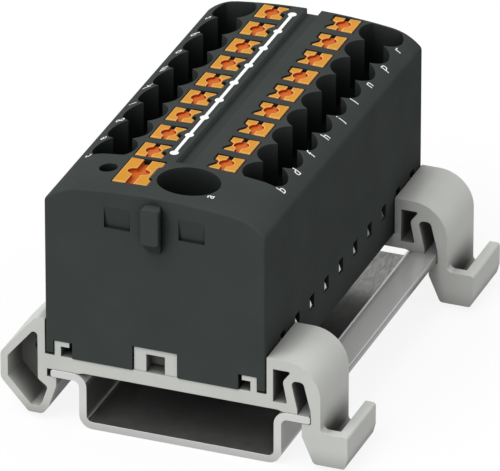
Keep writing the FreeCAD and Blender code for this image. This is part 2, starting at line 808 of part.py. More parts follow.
def build():
    """All the pieces by node name, in the block's own frame."""
    parts = {"housing": in_place(housing()), "bottom_cover": in_place(bottom_cover()),
             "current_bar": in_place(current_bar()), "feed_spring": in_place(feed_spring()),
             "feed_button": in_place(feed_button()), "din_rail": din_rail()}
    for name, front_y in zip(("foot_front", "foot_rear"), foot_fronts()):
        parts[name] = foot(front_y)
    for row, number, x, y, turned in button_seats():
        side = 1 if row == "right" else -1
        parts[f"button_{row}_{number}"] = in_place(small_button(x, y, turned))
        parts[f"spring_{row}_{number}"] = in_place(way_spring(side, y))
    return parts


def main():
    """Build each piece, say what came out, and write it."""
    os.makedirs("parts", exist_ok=True)
    for name, shape in sorted(build().items()):
        solids = shape.Solids
        state = "valid" if shape.isValid() else "NOT VALID"
        low = shape.BoundBox
        print(f"{name}: {len(solids)} solid, {state}, {shape.Volume:.1f} mm3, "
              f"x {low.XMin:.2f} {low.XMax:.2f} y {low.YMin:.2f} {low.YMax:.2f} "
              f"z {low.ZMin:.2f} {low.ZMax:.2f}")
        (solids[0] if len(solids) == 1 else shape).exportStep(f"parts/{name}.step")


main()
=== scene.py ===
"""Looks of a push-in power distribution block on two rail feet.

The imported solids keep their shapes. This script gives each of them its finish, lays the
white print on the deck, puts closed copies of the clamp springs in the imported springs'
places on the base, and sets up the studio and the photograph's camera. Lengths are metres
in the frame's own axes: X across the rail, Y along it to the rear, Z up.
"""

from __future__ import annotations

import json
import logging
import math
from dataclasses import dataclass, field
from enum import Enum, IntEnum
from typing import Callable, Sequence

import bmesh
import bpy
from mathutils import Matrix, Vector
from mathutils.bvhtree import BVHTree

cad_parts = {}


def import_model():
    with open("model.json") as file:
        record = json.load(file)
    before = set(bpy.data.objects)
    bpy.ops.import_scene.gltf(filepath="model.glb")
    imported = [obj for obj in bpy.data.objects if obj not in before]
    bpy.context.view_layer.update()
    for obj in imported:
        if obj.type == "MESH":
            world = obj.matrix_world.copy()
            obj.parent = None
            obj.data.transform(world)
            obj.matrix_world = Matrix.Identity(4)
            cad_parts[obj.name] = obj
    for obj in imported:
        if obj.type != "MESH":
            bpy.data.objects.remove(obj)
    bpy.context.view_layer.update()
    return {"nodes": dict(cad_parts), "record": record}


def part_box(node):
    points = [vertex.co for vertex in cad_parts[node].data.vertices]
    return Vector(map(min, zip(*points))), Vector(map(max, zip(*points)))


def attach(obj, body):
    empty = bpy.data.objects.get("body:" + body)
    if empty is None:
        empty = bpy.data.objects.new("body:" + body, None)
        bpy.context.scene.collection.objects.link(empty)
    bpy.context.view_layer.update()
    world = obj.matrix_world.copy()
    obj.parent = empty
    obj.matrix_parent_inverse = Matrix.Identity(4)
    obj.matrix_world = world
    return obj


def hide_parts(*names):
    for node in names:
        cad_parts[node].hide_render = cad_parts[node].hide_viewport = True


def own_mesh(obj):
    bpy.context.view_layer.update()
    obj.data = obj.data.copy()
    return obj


LOG = logging.getLogger("distribution_block")
MM = 0.001
WHITE = (1.0, 1.0, 1.0, 1.0)
BLACK = (0.0, 0.0, 0.0)
NOISE_MIDDLE = 0.5
QUARTER_TURN = Matrix(((0, -1, 0, 0), (1, 0, 0, 0), (0, 0, 1, 0), (0, 0, 0, 1)))
SEEN_RAYS = ("Is Camera Ray", "Is Glossy Ray", "Is Transmission Ray")
Colour = tuple[float, float, float]
Span = tuple[float, float]


# Names from the frame and numbers of the nodes
class Body(Enum):
    """Bodies of the frame that pieces ride on."""

    BASE = "base"


class Slot(Enum):
    """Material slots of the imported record."""

    HOUSING = "black_housing"
    COVER = "black_cover"
    BUTTON = "orange_button"
    FOOT = "grey_foot"
    RAIL = "zinc_rail"
    BAR = "tinned_copper"
    SPRING = "spring_steel"


class Rays(IntEnum):
    """How many rays the finishes send out at each shaded point."""

    ENCLOSURE = 8
    EDGE = 8
    BEVEL = 4


class ColourMix(IntEnum):
    """Sockets of a Mix node set to colours, whose names stand for several of its sockets."""

    FACTOR = 0
    FIRST = 6
    SECOND = 7
    RESULT = 2


# Node trees
class Number:
    """A number in a shader tree. Arithmetic on it adds the Math nodes."""

    def __init__(self, tree: ShaderTree, socket: bpy.types.NodeSocket) -> None:
        """Wrap an output socket of a tree.

        Args:
            tree: The tree that the socket belongs to.
            socket: The output socket that carries the number.
        """
        self.tree = tree
        self.socket = socket

    def math(self, operation: str, *terms: Number | float) -> Number:
        """Add one Math node.

        Args:
            operation: The Math node's operation.
            *terms: Its operands, in order.

        Returns:
            The node's result.
        """
        inputs = dict(enumerate(terms))
        return self.tree.number("ShaderNodeMath", {"operation": operation}, inputs, 0)

    def __add__(self, other: Number | float) -> Number:
        """Sum."""
        return self.math("ADD", self, other)

    def __radd__(self, other: float) -> Number:
        """Sum, from the other side."""
        return self.math("ADD", other, self)

    def __sub__(self, other: Number | float) -> Number:
        """Difference."""
        return self.math("SUBTRACT", self, other)

    def __rsub__(self, other: float) -> Number:
        """Difference, from the other side."""
        return self.math("SUBTRACT", other, self)

    def __mul__(self, other: Number | float) -> Number:
        """Product."""
        return self.math("MULTIPLY", self, other)

    def __rmul__(self, other: float) -> Number:
        """Product, from the other side."""
        return self.math("MULTIPLY", other, self)

    def __truediv__(self, other: Number | float) -> Number:
        """Quotient."""
        return self.math("DIVIDE", self, other)

    def absolute(self) -> Number:
        """The number without its sign."""
        return self.math("ABSOLUTE", self)

    def larger(self, other: Number | float) -> Number:
        """The larger of two numbers."""
        return self.math("MAXIMUM", self, other)

    def clamped(self) -> Number:
        """The number, held between 0 and 1."""
        return self.math("MINIMUM", self.larger(0.0), 1.0)

    def ramp(self, low: float, high: float) -> Number:
        """Rise from 0 to 1 between two values.

        Args:
            low: Where the result is 0.
            high: Where the result is 1.

        Returns:
            The clamped rise.
        """
        return ((self - low) / (high - low)).clamped()


class NodeTree:
    """A node tree that is built node by node."""

    def __init__(self, tree: bpy.types.NodeTree) -> None:
        """Start with no nodes.

        Args:
            tree: The tree to build in.
        """
        self.tree = tree
        self.tree.nodes.clear()

    def node(self, kind: str, settings: dict[str, object],
             inputs: dict[int | str, object]) -> bpy.types.Node:
        """Add a node, set its settings and then its sockets.

        Args:
            kind: The node's type.
            settings: Its properties by name.
            inputs: Values or links by socket name or index.

        Returns:
            The new node.
        """
        made = self.tree.nodes.new(kind)
        for key, value in settings.items():
            setattr(made, key, value)
        for key, value in inputs.items():
            source = value.socket if isinstance(value, Number) else value
            if isinstance(source, bpy.types.NodeSocket):
                self.tree.links.new(source, made.inputs[key])
            else:
                made.inputs[key].default_value = source
        return made


class ShaderTree(NodeTree):
    """The node tree of a material or of the world."""

    openness: Span = (0.25, 0.85)

    def __init__(self, owner: bpy.types.Material | bpy.types.World) -> None:
        """Start the owner's tree afresh.

        Args:
            owner: The material or world that is built.
        """
        owner.use_nodes = True
        super().__init__(owner.node_tree)
        self.owner = owner

    def number(self, kind: str, settings: dict[str, object],
               inputs: dict[int | str, object], output: int | str) -> Number:
        """Add a node and take one of its outputs as a number.

        Args:
            kind: The node's type.
            settings: Its properties by name.
            inputs: Values or links by socket name or index.
            output: The output's name or index.

        Returns:
            The output as a number.
        """
        return Number(self, self.node(kind, settings, inputs).outputs[output])

    def place(self) -> bpy.types.NodeSocket:
        """The point's own coordinates in metres."""
        return self.node("ShaderNodeTexCoord", {}, {}).outputs["Object"]

    def axes(self) -> tuple[Number, Number, Number]:
        """The point's X, Y and Z in metres."""
        parts = self.node("ShaderNodeSeparateXYZ", {}, {"Vector": self.place()})
        return tuple(Number(self, part) for part in parts.outputs)

    def normal(self) -> bpy.types.NodeSocket:
        """The way that the surface faces."""
        return self.node("ShaderNodeNewGeometry", {}, {}).outputs["Normal"]

    def normal_x(self) -> Number:
        """How far the surface faces along +X."""
        return self.number("ShaderNodeSeparateXYZ", {}, {"Vector": self.normal()}, "X")

    def stretched(self, scale: Sequence[float]) -> bpy.types.NodeSocket:
        """The point's coordinates, scaled by axis.

        Args:
            scale: The factor for each axis.

        Returns:
            The scaled vector's socket.
        """
        inputs = {"Vector": self.place(), "Scale": Vector(scale)}
        return self.node("ShaderNodeMapping", {}, inputs).outputs["Vector"]

    def noise(self, size: float, detail: float,
              vector: bpy.types.NodeSocket | None = None) -> Number:
        """Soft noise around its middle value.

        Args:
            size: The size of a blot in metres, or in the vector's own units.
            detail: How many finer layers it has.
            vector: The coordinates to read, or the point's own.

        Returns:
            The noise value.
        """
        inputs = {"Vector": vector or self.place(), "Scale": 1.0 / size, "Detail": detail}
        return self.number("ShaderNodeTexNoise", {}, inputs, "Fac")

    def mix(self, share: Number | float, first: object, second: object) -> bpy.types.NodeSocket:
        """Mix two colours.

        Args:
            share: How much of the second colour shows, from 0 to 1.
            first: A colour or a colour socket.
            second: A colour or a colour socket.

        Returns:
            The mixed colour's socket.
        """
        colours = [(*c, 1.0) if isinstance(c, tuple) else c for c in (first, second)]
        inputs = {ColourMix.FACTOR: share, ColourMix.FIRST: colours[0], ColourMix.SECOND: colours[1]}
        return self.node("ShaderNodeMix", {"data_type": "RGBA"}, inputs).outputs[ColourMix.RESULT]

    def dimmed(self, colour: object, share: Number) -> bpy.types.NodeSocket:
        """Keep only a share of a colour's light.

        Args:
            colour: A colour or a colour socket.
            share: The share that is kept, from 0 to 1.

        Returns:
            The dimmed colour's socket.
        """
        return self.mix(share, BLACK, colour)

    def paint_shade(self, colour: object, reach: float, darkest: float) -> bpy.types.NodeSocket:
        """Darken a colour in holes, grooves and gaps: painted shade where little light reaches.

        Args:
            colour: A colour or a colour socket.
            reach: How near the facing walls of a hole have to be, in metres.
            darkest: The share of the colour that is left at the bottom of a hole.

        Returns:
            The darkened colour's socket.
        """
        settings = {"samples": Rays.ENCLOSURE}
        # Painted shade: the less open a point is, the darker its colour is made.
        exposed = self.number("ShaderNodeAmbientOcclusion", settings, {"Distance": reach}, "AO")
        return self.dimmed(colour, darkest + (1 - darkest) * exposed.ramp(*self.openness))

    def edges(self, radius: float, softness: float) -> Number:
        """Where the surface turns sharply, as along a moulded or cut edge.

        Args:
            radius: How far from an edge it counts, in metres.
            softness: The turn, as 1 less its cosine, at which an edge counts in full.

        Returns:
            A mask that is 1 on edges.
        """
        rounded = self.node("ShaderNodeBevel", {"samples": Rays.EDGE}, {"Radius": radius})
        same = self.number("ShaderNodeVectorMath", {"operation": "DOT_PRODUCT"},
                           {0: rounded.outputs[0], 1: self.normal()}, "Value")
        return (1 - same).ramp(0.0, softness)

    def bump(self, height: Number, depth: float, edge_radius: float) -> bpy.types.NodeSocket:
        """A bumped normal on softly rounded edges.

        Args:
            height: The bump's height from 0 to 1.
            depth: What a height of 1 stands for, in metres.
            edge_radius: How far the light on an edge is rounded, in metres.

        Returns:
            The normal's socket.
        """
        rounded = self.node("ShaderNodeBevel", {"samples": Rays.BEVEL}, {"Radius": edge_radius})
        inputs = {"Height": height, "Distance": depth, "Normal": rounded.outputs[0]}
        return self.node("ShaderNodeBump", {}, inputs).outputs[0]

    def surface(self, inputs: dict[str, object]) -> bpy.types.Material:
        """Finish the tree with a Principled surface.

        Args:
            inputs: Values or links of the Principled shader's sockets.

        Returns:
            The finished material.
        """
        shader = self.node("ShaderNodeBsdfPrincipled", {}, inputs)
        self.node("ShaderNodeOutputMaterial", {}, {"Surface": shader.outputs[0]})
        return self.owner


class GeometryTree(NodeTree):
    """A Geometry Nodes tree with named inputs."""

    def __init__(self, name: str, inputs: dict[str, tuple[str, float]]) -> None:
        """Start a tree.

        Args:
            name: The tree's name.
            inputs: Socket type and value of each named input.
        """
        super().__init__(bpy.data.node_groups.new(name, "GeometryNodeTree"))
        self.values = {key: value for key, (_, value) in inputs.items()}
        for key, (kind, _) in inputs.items():
            self.tree.interface.new_socket(name=key, in_out="INPUT", socket_type=kind)
        self.tree.interface.new_socket(name="Geometry", in_out="OUTPUT",
                                       socket_type="NodeSocketGeometry")
        self.group = super().node("NodeGroupInput", {}, {})

    def node(self, kind: str, settings: dict[str, object],
             inputs: dict[int | str, object]) -> bpy.types.Node:
        """Add a node; a text value names one of the tree's own inputs.

        Args:
            kind: The node's type.
            settings: Its properties by name.
            inputs: Values, links or input names by socket name or index.

        Returns:
            The new node.
        """
        sources = {key: self.group.outputs[value] if isinstance(value, str) else value
                   for key, value in inputs.items()}
        return super().node(kind, settings, sources)

    def mesh(self, name: str, geometry: bpy.types.NodeSocket,
             material: bpy.types.Material) -> bpy.types.Mesh:
        """End the tree and take its result as a plain mesh.

        Args:
            name: The mesh's name.
            geometry: The geometry before instances are realised.
            material: The material for all of it.

        Returns:
            The plain mesh.
        """
        real = self.node("GeometryNodeRealizeInstances", {}, {"Geometry": geometry})
        dressed = self.node("GeometryNodeSetMaterial", {},
                            {"Geometry": real.outputs[0], "Material": material})
        self.node("NodeGroupOutput", {}, {0: dressed.outputs[0]})
        carrier = placed(name, bpy.data.meshes.new(name))
        modifier = carrier.modifiers.new(name, "NODES")
        modifier.node_group = self.tree
        for item in self.tree.interface.items_tree:
            if item.item_type == "SOCKET" and item.in_out == "INPUT":
                modifier[item.identifier] = self.values[item.name]
        return settled(carrier)


# Objects, meshes and tones
def placed(name: str, data: bpy.types.ID) -> bpy.types.Object:
    """Put a mesh, text, lamp or camera into the scene.

    Args:
        name: The object's name.
        data: What the object shows.

    Returns:
        The new object.
    """
    made = bpy.data.objects.new(name, data)
    bpy.context.scene.collection.objects.link(made)
    return made


def settled(carrier: bpy.types.Object) -> bpy.types.Mesh:
    """Take an object's final shape as a plain mesh, and remove the object.

    Args:
        carrier: The object with its modifier or its text.

    Returns:
        The plain mesh.
    """
    graph = bpy.context.evaluated_depsgraph_get()
    made = bpy.data.meshes.new_from_object(carrier.evaluated_get(graph))
    bpy.data.objects.remove(carrier)
    return made


def sheet(name: str, low: Span, high: Span) -> bpy.types.Mesh:
    """Make a flat rectangle that faces up.

    Args:
        name: The mesh's name.
        low: Its least X and Y.
        high: Its greatest X and Y.

    Returns:
        The rectangle's mesh.
    """
    corners = [(low[0], low[1], 0), (high[0], low[1], 0), (high[0], high[1], 0), (low[0], high[1], 0)]
    mesh = bpy.data.meshes.new(name)
    mesh.from_pydata(corners, [], [(0, 1, 2, 3)])
    return mesh


def dress(node: bpy.types.Object, material: bpy.types.Material) -> None:
    """Give an object one material.

    Args:
        node: The object, whose own mesh stays as it is.
        material: The material for all its faces.
    """
    node.data.materials.clear()
    node.data.materials.append(material)


def neighbours(colour: Colour, share: float) -> tuple[Colour, Colour]:
    """The darker and the lighter tone that an uneven colour varies between.

    Args:
        colour: The colour in the middle.
        share: How far each tone lies from it.

    Returns:
        The darker tone and the lighter one.
    """
    darker = tuple(c * (1 - share) for c in colour)
    lighter = tuple(min(1.0, c * (1 + share)) for c in colour)
    return darker, lighter


# Finishes
@dataclass(frozen=True)
class MouldedPlastic:
    """Matt moulded plastic with a fine eroded grain."""

    name: str
    colour: Colour
    roughness: float
    sheen: float = 0.5
    # Painted shade in recesses: how far it looks for nearby walls, and the share left at the darkest
    painted_shade_reach: float = 5.0 * MM
    painted_shade_share: float = 0.35
    mottling: float = 0.06
    blot_size: float = 6.0 * MM
    blot_detail: float = 3.0
    blot_span: Span = (0.3, 0.7)
    grain_size: float = 0.16 * MM
    grain_detail: float = 2.0
    grain_depth: float = 0.004 * MM
    gloss_spread: float = 0.10
    edge_radius: float = 0.09 * MM

    def tinted(self, tree: ShaderTree) -> bpy.types.NodeSocket:
        """The base colour with the mould's faint blotches."""
        blots = tree.noise(self.blot_size, self.blot_detail).ramp(*self.blot_span)
        return tree.mix(blots, *neighbours(self.colour, self.mottling))

    def coloured(self, tree: ShaderTree) -> bpy.types.NodeSocket:
        """The base colour, with painted shade in the recesses."""
        # Painted shade in the recesses.
        return tree.paint_shade(self.tinted(tree), self.painted_shade_reach, self.painted_shade_share)

    def material(self) -> bpy.types.Material:
        """Build the material.

        Returns:
            The finished material.
        """
        tree = ShaderTree(bpy.data.materials.new(self.name))
        grain = tree.noise(self.grain_size, self.grain_detail)
        return tree.surface({
            "Base Color": self.coloured(tree),
            "Roughness": self.roughness + self.gloss_spread * (grain - NOISE_MIDDLE),
            "Specular IOR Level": self.sheen,
            "Normal": tree.bump(grain, self.grain_depth, self.edge_radius),
        })


@dataclass(frozen=True)
class HousingPlastic(MouldedPlastic):
    """The housing's black plastic: painted shade in recesses, none in the deck's middle groove, painted
    light on its left wall.
    """

    middle_x: float = 0.0
    feed_rear_y: float = 0.0
    groove_lead: float = 0.5 * MM
    groove_reach: float = 2.6 * MM
    groove_blend: float = 0.6 * MM
    # Painted light on the groove's left wall: how far a wall faces +X, and its paler colour
    painted_light_facing: Span = (0.6, 0.9)
    painted_light_colour: Colour = (0.115, 0.130, 0.126)

    def coloured(self, tree: ShaderTree) -> bpy.types.NodeSocket:
        """The base colour, with painted shade in the recesses and painted light on the groove's left
        wall.

        Args:
            tree: The material's tree.

        Returns:
            The colour's socket.
        """
        plain = self.tinted(tree)
        x, y, _ = tree.axes()
        across = (x - self.middle_x).absolute()
        front_y = self.feed_rear_y + self.groove_lead
        beside = across.ramp(self.groove_reach, self.groove_reach + self.groove_blend)
        inside = (1 - beside) * y.ramp(front_y, front_y + self.groove_blend)
        # Painted light: walls facing +X in the groove are made paler.
        groove = tree.mix(tree.normal_x().ramp(*self.painted_light_facing), plain, self.painted_light_colour)
        # Inside the groove band the painted shade is left out.
        return tree.mix(inside, tree.paint_shade(plain, self.painted_shade_reach, self.painted_shade_share), groove)


@dataclass(frozen=True)
class ButtonPlastic(MouldedPlastic):
    """Orange plastic, with painted shade in deep red on the walls of the dimple and slot and painted
    bounce light on their floor.
    """

    top_z: float = 0.0
    # Painted shade on the dimple's and slot's walls and painted bounce light on their floor, by depth
    shaded_wall_colour: Colour = (0.40, 0.024, 0.007)
    shaded_wall_depths: Span = (0.125 * MM, 0.16 * MM)
    bounce_lit_floor_colour: Colour = (0.64, 0.150, 0.024)
    bounce_lit_floor_depths: Span = (0.38 * MM, 0.44 * MM)
    # Painted highlight along the edges: its colour, reach, turn and share
    highlight_colour: Colour = (1.0, 0.72, 0.30)
    highlight_edge: float = 0.18 * MM
    highlight_turn: float = 0.08
    highlight_share: float = 0.8

    def coloured(self, tree: ShaderTree) -> bpy.types.NodeSocket:
        """The base colour, with painted highlights along the edges and redder painted shade and bounce
        light down the dimple and slot.

        Args:
            tree: The material's tree.

        Returns:
            The colour's socket.
        """
        depth = self.top_z - tree.axes()[2]
        # Painted highlight: edges are mixed towards a pale orange.
        painted_glint = self.highlight_share * tree.edges(self.highlight_edge, self.highlight_turn)
        glinting = tree.mix(painted_glint, self.tinted(tree), self.highlight_colour)
        # Painted shade and bounce light: deep red on the walls, red-orange on the floor, by depth below
        # the top.
        walls_in_painted_shade = tree.mix(depth.ramp(*self.shaded_wall_depths), glinting, self.shaded_wall_colour)
        return tree.mix(depth.ramp(*self.bounce_lit_floor_depths), walls_in_painted_shade, self.bounce_lit_floor_colour)


@dataclass(frozen=True)
class RolledMetal:
    """Bare or plated sheet metal with rolling lines along Y."""

    name: str
    colour: Colour
    roughness: float
    line_width: float = 0.09 * MM
    line_length: float = 9.0 * MM
    line_detail: float = 3.0
    line_depth: float = 0.0015 * MM
    band_size: float = 1.4 * MM
    band_detail: float = 4.0
    band_contrast: float = 0.10
    tone_span: Span = (0.35, 0.65)
    gloss_spread: float = 0.16
    edge_radius: float = 0.05 * MM

    def coloured(self, tree: ShaderTree, tone: Number) -> bpy.types.NodeSocket:
        """The rolled sheet's colour.

        Args:
            tree: The material's tree.
            tone: The sheet's unevenness.

        Returns:
            The colour's socket.
        """
        return tree.mix(tone.ramp(*self.tone_span), *neighbours(self.colour, self.band_contrast))

    def bareness(self, tree: ShaderTree) -> Number | float:
        """The share that shines as bare metal, which is all of it on plain sheet."""
        return 1.0

    def material(self) -> bpy.types.Material:
        """Build the material.

        Returns:
            The finished material.
        """
        tree = ShaderTree(bpy.data.materials.new(self.name))
        along = tree.stretched((1.0, self.line_width / self.line_length, 1.0))
        lines = tree.noise(self.line_width, self.line_detail, along)
        tone = (lines + tree.noise(self.band_size, self.band_detail)) / 2
        return tree.surface({
            "Base Color": self.coloured(tree, tone),
            "Metallic": self.bareness(tree),
            "Roughness": self.roughness + self.gloss_spread * (tone - NOISE_MIDDLE),
            "Normal": tree.bump(lines, self.line_depth, self.edge_radius),
        })


@dataclass(frozen=True)
class RailZinc(RolledMetal):
    """The rail's zinc: bright in the channel, pale and dull on the lips and the sawn ends."""

    end_y: float = 28.0 * MM
    end_skin: float = 0.03 * MM
    lip_z: float = 6.4 * MM
    dull_colour: Colour = (0.69, 0.69, 0.68)
    dull_metallic: float = 0.25
    channel_metallic: float = 0.9
    shaded_y: float = -15.0 * MM
    shaded_blend: float = 5.0 * MM
    shaded_share: float = 0.55
    rib_width: float = 0.35 * MM
    rib_length: float = 1.4 * MM
    rib_detail: float = 1.0
    rib_contrast: float = 0.45
    # Painted dark reflection on the outer walls: where it starts, where it is full, and its share
    outer_start: float = 6.0 * MM
    outer_full: float = 12.0 * MM
    outer_shade_share: float = 0.6
    # Painted shade in the rail's hollows
    painted_shade_reach: float = 5.0 * MM
    painted_shade_share: float = 0.5
    # Painted highlight on edges: its colour, reach, turn and share
    edge_highlight_colour: Colour = (0.85, 0.85, 0.84)
    edge_reach: float = 0.12 * MM
    edge_turn: float = 0.12
    edge_highlight_share: float = 0.6

    def dull(self, tree: ShaderTree) -> Number:
        """Where the zinc is dull: on the lips and the sawn ends.

        Args:
            tree: The material's tree.

        Returns:
            A mask that is 1 on the dull parts.
        """
        _, y, z = tree.axes()
        end = y.absolute().ramp(self.end_y - 2 * self.end_skin, self.end_y - self.end_skin)
        return end.larger(z.ramp(self.lip_z - self.end_skin, self.lip_z))

    def channelled(self, tree: ShaderTree, tone: Number) -> bpy.types.NodeSocket:
        """The channel's colour, which darkens and turns finely ribbed to the rear.

        Args:
            tree: The material's tree.
            tone: The sheet's unevenness.

        Returns:
            The colour's socket.
        """
        _, y, _ = tree.axes()
        along = tree.stretched((1.0, self.rib_width / self.rib_length, 1.0))
        ribs = tree.noise(self.rib_width, self.rib_detail, along).ramp(*self.tone_span)
        ribbed = 1 - self.rib_contrast * ribs * y.ramp(0.0, self.end_y)
        shade = 1 - self.shaded_share * y.ramp(self.shaded_y, self.shaded_y + self.shaded_blend)
        return tree.dimmed(super().coloured(tree, tone), ribbed * shade)

    def coloured(self, tree: ShaderTree, tone: Number) -> bpy.types.NodeSocket:
        """The rail's colour, with painted dark reflection on the walls that face outwards and painted
        highlights on edges.

        Args:
            tree: The material's tree.
            tone: The sheet's unevenness.

        Returns:
            The colour's socket.
        """
        aged = tree.mix(self.dull(tree), self.channelled(tree, tone), self.dull_colour)
        # Painted dark reflection: walls facing away from the middle are darkened.
        outward_shade = (tree.normal_x() * tree.axes()[0]).ramp(self.outer_start, self.outer_full)
        walls_in_painted_shade = tree.dimmed(aged, 1 - self.outer_shade_share * outward_shade)
        # Painted shade in the channel's corners and beside the parts on the rail.
        shaded = tree.paint_shade(walls_in_painted_shade, self.painted_shade_reach, self.painted_shade_share)
        # Painted highlight: edges are mixed towards pale zinc.
        edge = self.edge_highlight_share * tree.edges(self.edge_reach, self.edge_turn)
        return tree.mix(edge, shaded, self.edge_highlight_colour)

    def bareness(self, tree: ShaderTree) -> Number:
        """The share that shines as bare metal, which is less where the zinc is dull."""
        return self.channel_metallic + (self.dull_metallic - self.channel_metallic) * self.dull(tree)


@dataclass(frozen=True)
class PrintInk:
    """White pad-printed ink, slightly uneven."""

    name: str = "white_print"
    colour: Colour = (0.96, 0.96, 0.95)
    roughness: float = 0.5
    gloss_spread: float = 0.1
    speckle_size: float = 0.12 * MM
    speckle_detail: float = 2.0
    speckle_span: Span = (0.25, 0.45)
    thin_share: float = 0.94

    def material(self) -> bpy.types.Material:
        """Build the material.

        Returns:
            The finished material.
        """
        tree = ShaderTree(bpy.data.materials.new(self.name))
        speckle = tree.noise(self.speckle_size, self.speckle_detail)
        thin = tuple(self.thin_share * c for c in self.colour)
        return tree.surface({
            "Base Color": tree.mix(speckle.ramp(*self.speckle_span), thin, self.colour),
            "Roughness": self.roughness + self.gloss_spread * (speckle - NOISE_MIDDLE),
        })


@dataclass
class Finishes:
    """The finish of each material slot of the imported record."""

    button_top_z: float
    rail_end_y: float
    middle_x: float
    feed_rear_y: float
    cover: MouldedPlastic = MouldedPlastic("cover_plastic", (0.024, 0.027, 0.025), 0.6)
    # The foot has lighter painted shade in its hollows.
    foot: MouldedPlastic = MouldedPlastic("foot_plastic", (0.62, 0.632, 0.600), 0.5, sheen=0.3,
                                          painted_shade_share=0.15, mottling=0.03)
    bar: RolledMetal = RolledMetal("bar_tin", (0.95, 0.95, 0.92), 0.32, band_contrast=0.04)
    spring: RolledMetal = RolledMetal("spring_steel", (0.58, 0.58, 0.57), 0.26)

    def materials(self) -> dict[Slot, bpy.types.Material]:
        """Build one material for each slot.

        Returns:
            The materials by slot.
        """
        button = ButtonPlastic("button_plastic", (0.655, 0.275, 0.016), 0.45, sheen=0.12, mottling=0.04,
                               top_z=self.button_top_z)
        rail = RailZinc("rail_zinc", (0.52, 0.52, 0.51), 0.2, end_y=self.rail_end_y)
        # The housing's painted shade reaches far into its bores and funnels, and is deep.
        housing = HousingPlastic("housing_plastic", (0.0525, 0.0600, 0.0575), 0.75, sheen=0.01,
                                 painted_shade_reach=9.0 * MM, painted_shade_share=0.2, middle_x=self.middle_x,
                                 feed_rear_y=self.feed_rear_y)
        finishes = {
            Slot.HOUSING: housing,
            Slot.COVER: self.cover,
            Slot.BUTTON: button,
            Slot.FOOT: self.foot,
            Slot.RAIL: rail,
            Slot.BAR: self.bar,
            Slot.SPRING: self.spring,
        }
        return {slot: finish.material() for slot, finish in finishes.items()}

    def dress_all(self, nodes: dict[str, bpy.types.Object],
                  subparts: Sequence[dict[str, str]]) -> int:
        """Dress every node with its slot's material.

        Args:
            nodes: The frame's nodes by name.
            subparts: The record's list of nodes with their slots.

        Returns:
            How many nodes were dressed.
        """
        materials = self.materials()
        for part in subparts:
            dress(nodes[part["node"]], materials[Slot(part["material_slot"])])
        return len(subparts)


# Pieces that the scene adds
@dataclass(frozen=True)
class ClampSprings:
    """The clamp springs, copied as closed meshes that ride on the base."""

    nodes: dict[str, bpy.types.Object]
    joints: Sequence[dict[str, object]]
    weld: float = 1e-6

    def strip(self, name: str) -> bpy.types.Object:
        """Copy a spring as one closed mesh.

        Args:
            name: The spring's node.

        Returns:
            The copy, in the node's own finish.
        """
        mesh = self.nodes[name].data.copy()
        whole = bmesh.new()
        whole.from_mesh(mesh)
        bmesh.ops.remove_doubles(whole, verts=whole.verts, dist=self.weld)
        whole.to_mesh(mesh)
        whole.free()
        return placed(f"{name}_strip", mesh)

    def build(self) -> list[bpy.types.Object]:
        """Put a closed copy in each spring's place, on the base, and hide the imported spring.

        Returns:
            The copies, in the joints' order.
        """
        pieces = []
        for joint in self.joints:
            for pressed in joint.get("deforming_nodes", []):
                name, seat = pressed["node"], pressed["fixed_end_z_m"]
                low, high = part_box(name)
                piece = self.strip(name)
                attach(piece, Body.BASE.value)
                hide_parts(name)
                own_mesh(piece)
                pieces.append(piece)
        return pieces


@dataclass
class Deck:
    """The housing's arched top as a profile across X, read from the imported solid."""

    housing: bpy.types.Object
    samples: int = 600
    rib_and_margin: float = 2.3 * MM
    inset: float = 0.05 * MM
    headroom: float = MM
    points: list[Span] = field(init=False)
    runs: list[float] = field(init=False)

    def __post_init__(self) -> None:
        """Sample the profile between the front rib and the feed button."""
        low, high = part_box("housing")
        y = low.y + self.rib_and_margin
        graph = bpy.context.evaluated_depsgraph_get()
        surface = BVHTree.FromObject(self.housing, graph)
        self.points = []
        for i in range(self.samples + 1):
            x = low.x + self.inset + (high.x - low.x - 2 * self.inset) * i / self.samples
            hit = surface.ray_cast(Vector((x, y, high.z + self.headroom)), Vector((0, 0, -1)))[0]
            self.points.append((x, hit.z))
        self.runs = [0.0]
        for (xa, za), (xb, zb) in zip(self.points, self.points[1:]):
            self.runs.append(self.runs[-1] + math.hypot(xb - xa, zb - za))

    def run_at(self, x: float) -> float:
        """The length along the profile up to an X.

        Args:
            x: The place across the deck.

        Returns:
            The length from the profile's left end.
        """
        for i, (xa, _) in enumerate(self.points[1:], 1):
            if xa >= x:
                before = self.points[i - 1][0]
                share = (x - before) / (xa - before)
                return self.runs[i - 1] + share * (self.runs[i] - self.runs[i - 1])
        return self.runs[-1]

    def wrap(self, run: float, y: float, lift: float) -> Vector:
        """A point over the deck.

        Args:
            run: The length along the profile.
            y: The place along the rail.
            lift: The height over the surface.

        Returns:
            The point in the frame.
        """
        i = 1
        while i < len(self.runs) - 1 and self.runs[i] < run:
            i += 1
        (xa, za), (xb, zb) = self.points[i - 1], self.points[i]
        length = self.runs[i] - self.runs[i - 1]
        share = (run - self.runs[i - 1]) / length
        normal = Vector((za - zb, 0, xb - xa)) / length
        spot = Vector((xa + share * (xb - xa), y, za + share * (zb - za)))
        return spot + normal * lift


